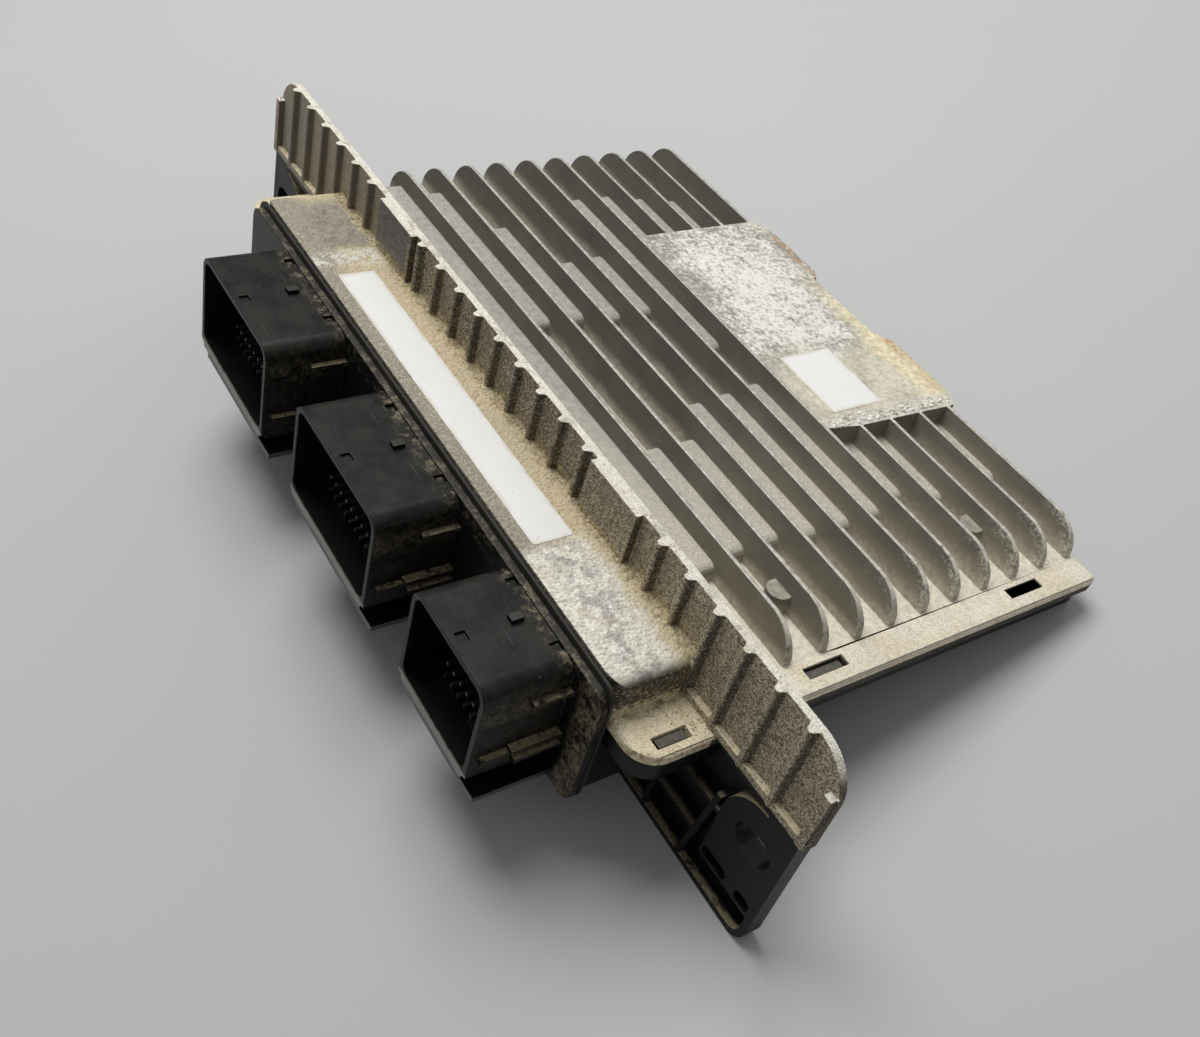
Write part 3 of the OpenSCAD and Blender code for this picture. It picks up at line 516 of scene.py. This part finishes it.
def base_look():
    """The same black plastic as the header, dusty on a few ledges of the lower flange."""
    k = Look("base_plastic", 0.4)
    k.bsdf.inputs["Specular IOR Level"].default_value = 0.22
    cloud = k.noise(9, 5, 0.6, 61)
    fine = k.step(k.noise(0.7, 3, 0.65, 62), 0.3, 0.7)
    outer = k.math("ABSOLUTE", k.x)
    dx = k.math("SUBTRACT", outer, HOLE)
    ring = k.math("SQRT", k.plus(k.times(dx, dx), k.times(k.z, k.z)))
    faces_up = k.step(k.nz, 0.1, 0.5)
    boss = k.times(faces_up, k.band(ring, 12.0, 14.0, 0.4))
    foot = k.times(faces_up, k.step(k.height, -41, -43), k.step(k.shift(k.y, cloud, 1.6), 2.6, 1.2))
    ledges = k.times(faces_up, k.band(outer, 111, 138, 1), k.band(k.height, -42, -5, 1),
                     k.step(k.shift(k.y, cloud, 2.0), 2.2, 0.8))
    ledge = k.times(k.most(boss, foot, k.times(ledges, 0.6)), k.step(k.y, 6.5, 5.8), k.step(k.y, -2, -1))
    ledge = k.times(ledge, k.spots(4, 0.3, 0.5, 4, 63, 0.65))
    hooks = k.times(k.up, k.step(k.height, -1.4, -1.0))
    film = k.times(k.spots(8, 0.52, 0.75, 5, 64), 0.4)
    colour = k.mix(cloud, (0.005, 0.005, 0.0053), (0.011, 0.0106, 0.01))
    colour = k.mix(film, colour, (0.024, 0.0215, 0.0175))
    colour = k.mix(k.times(hooks, 0.8), colour, k.mottled((0.12, 0.11, 0.09), fine, 0.4))
    colour = k.mix(k.times(ledge, 0.9), colour, k.mix(fine, (0.15, 0.118, 0.072), (0.38, 0.315, 0.205)))
    flecks = k.spots(0.45, 0.68, 0.73, 3, 65)
    colour = k.mix(k.times(flecks, 0.3), colour, (0.2, 0.185, 0.155))
    k.bump(k.noise(0.5, 2, 0.5, 66), 0.12, 0.3)
    rough = k.level(k.most(ledge, film), k.level(cloud, 0.34, 0.5), 0.9)
    return k.done(colour, rough)


def label_look(name, x0, x1, y0, y1):
    """Bare white label stock, a little yellowed, with dust at its edges."""
    k = Look(name, 0.45)
    cloud = k.noise(9, 4, 0.6, 31)
    colour = k.mix(cloud, (0.74, 0.735, 0.7), (0.82, 0.815, 0.79))
    rim = 0.9
    inside = k.field(x0 + rim, x1 - rim, y0 + rim, y1 - rim, 0.8)
    colour = k.mix(k.times(k.inv(inside), k.step(cloud, 0.35, 0.6), 0.6), colour, (0.56, 0.5, 0.38))
    colour = k.mix(k.times(k.spots(1.2, 0.64, 0.72, 3, 32), 0.5), colour, (0.46, 0.41, 0.32))
    k.bump(k.noise(3, 2, 0.5, 33), 0.05, 0.2)
    return k.done(colour)


def plain_look(name, dark, light, size, rough, metal):
    """A plain material: two close tones in blotches, with a little relief."""
    k = Look(name, rough, metal)
    cloud = k.noise(size, 4, 0.6, 41)
    k.bump(k.noise(size * 0.3, 2, 0.5, 42), 0.05, 0.2)
    return k.done(k.mix(cloud, dark, light), k.level(cloud, rough - 0.08, rough + 0.1))


def sand_look():
    """Loose grains of road sand and crust, each of its own tone."""
    k = Look("road_sand", 0.85)
    own = k.cells(2.2, 71)[1]
    gold = k.sandy(own, (0.6, 0.5, 0.32), (0.36, 0.29, 0.18), (0.76, 0.68, 0.5), 0.35, 0.65)
    crust = k.sandy(own, (0.7, 0.66, 0.58), (0.46, 0.42, 0.35), (0.86, 0.84, 0.78), 0.3, 0.6)
    k.bump(k.noise(0.3, 3, 0.6, 72), 0.1, 0.5)
    return k.done(k.mix(k.step(k.y, 60, 90), gold, crust))


def dress(name, mat):
    """Gives a CAD node its material; the node shows as it is."""
    mesh = nodes[name].data
    mesh.materials.clear()
    mesh.materials.append(mat)


def add_piece(name, work, mat):
    """Puts a finished bmesh in the scene as a piece that rides on the one body."""
    mesh = bpy.data.meshes.new(name)
    work.to_mesh(mesh)
    work.free()
    mesh.materials.append(mat)
    for face in mesh.polygons:
        face.use_smooth = True
    piece = bpy.data.objects.new(name, mesh)
    scene.collection.objects.link(piece)
    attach(piece, "root")
    return piece


def is_ramp(edge):
    """True for the end edge of a raised floor: level, across the fins, at the height of such a floor."""
    a, b = (vert.co / MM for vert in edge.verts)
    level = all(min(abs(v.z - PLATE - rise) for rise in RAISED_FLOORS) < 0.05 for v in (a, b))
    return level and abs(a.x - b.x) < 0.05 and abs(a.y - b.y) > 4 and a.y > 4


def round_edges(work, edges, width, segments):
    """Rounds edges of a bmesh by width millimetres."""
    bmesh.ops.bevel(work, geom=edges, offset=width * MM, offset_type="OFFSET", segments=segments,
                    profile=0.5, affect="EDGES", clamp_overlap=False)


def soften(node, name, width, mat, ramp=0.0):
    """Stands for a CAD node with the same shape.

    Its edges are rounded by width millimetres, and the ends of its raised floors by ramp.
    """
    work = bmesh.new()
    work.from_mesh(nodes[node].data)
    bmesh.ops.remove_doubles(work, verts=work.verts, dist=2e-6)
    bmesh.ops.dissolve_limit(work, angle_limit=FLAT, verts=work.verts, edges=work.edges)
    if ramp:
        round_edges(work, [edge for edge in work.edges if is_ramp(edge)], ramp, 4)
    sharp = []
    for edge in work.edges:
        if len(edge.link_faces) == 2 and edge.calc_face_angle(0) > SHARP:
            sharp.append(edge)
    round_edges(work, sharp, width, 2)
    low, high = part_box(node)
    for vert in work.verts:
        vert.co = [min(max(vert.co[i], low[i]), high[i]) for i in range(3)]
    piece = add_piece(name, work, mat)
    piece.modifiers.new("flat_faces", "WEIGHTED_NORMAL").keep_sharp = True
    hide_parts(node)


def close_groove(mat):
    """Fills the narrow groove between a fin and the raised field, where the casting runs through."""
    work = bmesh.new()
    made = bmesh.ops.create_cube(work, size=1.0)
    for vert in made["verts"]:
        vert.co = [(STRIP_AT[i] + vert.co[i] * STRIP_SIZE[i]) * MM for i in range(3)]
    piece = add_piece("field_edge", work, mat)
    for face in piece.data.polygons:
        face.use_smooth = False
    return piece


def grain(work, at, size, rng):
    """One uneven grain, half sunk into what it lies on."""
    made = bmesh.ops.create_icosphere(work, subdivisions=1, radius=size * MM)
    flat = rng.uniform(0.5, 0.8)
    turn = rng.uniform(0, math.tau)
    along = math.cos(turn)
    across = math.sin(turn)
    for vert in made["verts"]:
        x, y, z = vert.co * rng.uniform(0.75, 1.15)
        vert.co = Vector((x * along - y * across, x * across + y * along, z * flat))
        vert.co += Vector(at) * MM


def scatter_grit():
    """Sand along the foot of the wall, on its lip and on the near ear, and crust on the raised field."""
    rng = random.Random(7)
    work = bmesh.new()
    # Foot of the wall, on the shelf
    for _ in range(520):
        x = rng.triangular(-106, 106, 70)
        y = 1.0 - abs(rng.gauss(0, 1.5))
        grain(work, (x, y, SHELF), rng.uniform(0.15, 0.42), rng)
    # Lips at the foot of the wall's two ends
    for _ in range(90):
        x = rng.choice((-1, 1)) * rng.uniform(112, 161)
        grain(work, (x, rng.uniform(0.1, 1.5), WALL_LIP), rng.uniform(0.15, 0.36), rng)
    # Near ear, but not over its slot
    for _ in range(160):
        x = rng.uniform(113, 126)
        y = -abs(rng.gauss(0, 7))
        if y > -22 and not (120.4 < x < 125 and -17 < y < -5):
            grain(work, (x, y, PLATE), rng.uniform(0.15, 0.4), rng)
    # Foot of the slope above the near ear
    for _ in range(90):
        grain(work, (112.2 + abs(rng.gauss(0, 1.1)), rng.uniform(-22, -1), PLATE), rng.uniform(0.2, 0.5), rng)
    # Near edge of the raised field
    for _ in range(150):
        y = rng.uniform(102.5, 156)
        edge_x = 49.0 + 0.03 * (y - 101)
        grain(work, (edge_x - abs(rng.gauss(0, 1.8)) - 0.4, y, FIELD), rng.uniform(0.3, 0.95), rng)
    # Far rear corner of the raised field
    for _ in range(24):
        grain(work, (rng.uniform(-63, -55), rng.uniform(149, 155), FIELD), rng.uniform(0.3, 0.9), rng)
    return add_piece("loose_grit", work, sand_look())


cast = casting_look()
soften("heatsink_housing", "cast_housing", 0.3, cast, 3.0)
close_groove(cast)
soften("connector_header", "moulded_header", 0.2, header_look())
soften("base_tray", "moulded_base", 0.25, base_look())
scatter_grit()
dress("front_label", label_look("front_label_stock", -62.4, 63.4, -20, -7.4))
dress("rear_label", label_look("rear_label_stock", 12.7, 42.5, 107.9, 130))
PINS = ("far_socket_pins", "mid_socket_pins", "near_socket_pins", "power_blades")
CHIPS = ("microcontroller", "memory_chip", "supply_chip", "driver_chips", "power_transistors", "clamp_diodes",
         "pressure_sensor")
# Nodes, material, its two tones, size of its blotches in millimetres, roughness, metal
PLAIN = (
    (("header_seal",), "seal_rubber", (0.006, 0.006, 0.006), (0.03, 0.026, 0.02), 4, 0.6, 0.0),
    (("base_seal",), "gasket_rubber", (0.012, 0.012, 0.012), (0.03, 0.028, 0.024), 3, 0.65, 0.0),
    (("circuit_board",), "board_green", (0.008, 0.06, 0.024), (0.016, 0.1, 0.042), 6, 0.4, 0.0),
    (PINS, "tinned_contact", (0.2, 0.185, 0.15), (0.32, 0.3, 0.25), 2, 0.4, 1.0),
    (CHIPS, "chip_epoxy", (0.014, 0.014, 0.015), (0.028, 0.028, 0.03), 3, 0.55, 0.0),
    (("thermal_pads",), "gap_pad", (0.26, 0.38, 0.46), (0.34, 0.46, 0.54), 2, 0.75, 0.0),
    (("buffer_capacitors",), "capacitor_can", (0.04, 0.045, 0.075), (0.07, 0.075, 0.11), 3, 0.35, 0.5),
    (("supply_inductors",), "ferrite", (0.05, 0.05, 0.052), (0.09, 0.09, 0.09), 2, 0.6, 0.0),
    (("clock_crystal",), "crystal_can", (0.55, 0.55, 0.56), (0.68, 0.68, 0.7), 2, 0.3, 1.0),
    (("shunt_resistors",), "resistor_body", (0.03, 0.03, 0.028), (0.06, 0.058, 0.052), 1, 0.5, 0.0),
    (("ceramic_capacitors",), "ceramic", (0.32, 0.2, 0.1), (0.42, 0.28, 0.15), 1, 0.45, 0.0),
    (("board_screws",), "zinc_screw", (0.42, 0.42, 0.4), (0.56, 0.56, 0.54), 2, 0.35, 0.9),
    (("vent_membrane",), "vent_fleece", (0.66, 0.65, 0.61), (0.76, 0.75, 0.72), 1, 0.9, 0.0),
)
for names, material, dark, light, size, rough, metal in PLAIN:
    look = plain_look(material, dark, light, size, rough, metal)
    for name in names:
        dress(name, look)


def floor_look():
    """Pale studio floor, see-through from below."""
    k = Look("studio_floor", 0.75)
    cloud = k.noise(260, 2, 0.5, 51)
    mat = k.done(k.mix(cloud, (0.48, 0.48, 0.475), (0.52, 0.52, 0.515)))
    clear = k.tree.nodes.new("ShaderNodeBsdfTransparent")
    pick = k.tree.nodes.new("ShaderNodeMixShader")
    shape = k.tree.nodes.new("ShaderNodeNewGeometry")
    k.tree.links.new(shape.outputs["Backfacing"], pick.inputs[0])
    k.tree.links.new(k.bsdf.outputs[0], pick.inputs[1])
    k.tree.links.new(clear.outputs[0], pick.inputs[2])
    k.tree.links.new(pick.outputs[0], k.tree.nodes["Material Output"].inputs["Surface"])
    return mat


# The unit lies on the foot of its flange and the rear edge of its base, so the floor leans
front_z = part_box("base_tray")[0].z
rear_y = 154.0 * MM
rear_z = 3.6 * MM
lean = math.atan2(rear_z - front_z, rear_y)
floor_mesh = bpy.data.meshes.new("floor")
reach = 2.5
gap = 0.0002
corners = []
for cx, cy in ((-reach, -reach), (reach, -reach), (reach, reach), (-reach, reach)):
    corners.append((cx, cy * math.cos(lean), front_z - gap + cy * math.sin(lean)))
floor_mesh.from_pydata(corners, [], [(0, 1, 2, 3)])
floor = bpy.data.objects.new("floor", floor_mesh)
scene.collection.objects.link(floor)
floor_mesh.materials.append(floor_look())


def lamp(name, at, target, power, size):
    """A round area lamp that shines at target."""
    data = bpy.data.lights.new(name, "AREA")
    data.energy = power
    data.shape = "DISK"
    data.size = size
    obj = bpy.data.objects.new(name, data)
    obj.location = at
    obj.rotation_mode = "QUATERNION"
    obj.rotation_quaternion = (Vector(target) - Vector(at)).to_track_quat("-Z", "Y")
    scene.collection.objects.link(obj)


# Soft light from above and the far side, with a weak one behind
lamp("key", at=(-0.42, -0.1, 1.05), target=(0.0, 0.04, 0.0), power=11.5, size=0.8)
lamp("back", at=(-0.3, 0.9, 0.7), target=(0.0, 0.05, 0.0), power=1.5, size=0.8)
# Neutral surroundings, brighter overhead
horizon = (0.143, 0.143, 0.143, 1)
overhead = (0.343, 0.343, 0.343, 1)
world = bpy.data.worlds.new("studio")
world.use_nodes = True
sky = world.node_tree
backdrop = sky.nodes["Background"]
backdrop.inputs["Strength"].default_value = 1.0
ray = sky.nodes.new("ShaderNodeTexCoord")
parts = sky.nodes.new("ShaderNodeSeparateXYZ")
fade = sky.nodes.new("ShaderNodeMapRange")
fade.inputs["From Min"].default_value = 0.0
fade.inputs["From Max"].default_value = 0.9
tint = sky.nodes.new("ShaderNodeMix")
tint.data_type = "RGBA"
tint.inputs[6].default_value = horizon
tint.inputs[7].default_value = overhead
sky.links.new(ray.outputs["Generated"], parts.inputs[0])
sky.links.new(parts.outputs[2], fade.inputs["Value"])
sky.links.new(fade.outputs["Result"], tint.inputs[0])
sky.links.new(tint.outputs[2], backdrop.inputs["Color"])
scene.world = world

# Camera at the photograph's place
camera_data = bpy.data.cameras.new("camera")
camera_data.sensor_fit = "HORIZONTAL"
camera_data.sensor_width = 36
camera_data.lens = 37.09
camera_data.clip_start = 0.01
camera_data.clip_end = 20
camera = bpy.data.objects.new("camera", camera_data)
right = Vector((0.52115, 0.82187, 0.23008))
upward = Vector((-0.66811, 0.22511, 0.70920))
backward = Vector((0.53107, -0.52331, 0.66641))
turn = Matrix((right, upward, backward)).transposed()
place = Vector((0.24006, -0.17380, 0.25428))
camera.matrix_world = Matrix.Translation(place) @ turn.to_4x4()
scene.collection.objects.link(camera)
scene.camera = camera
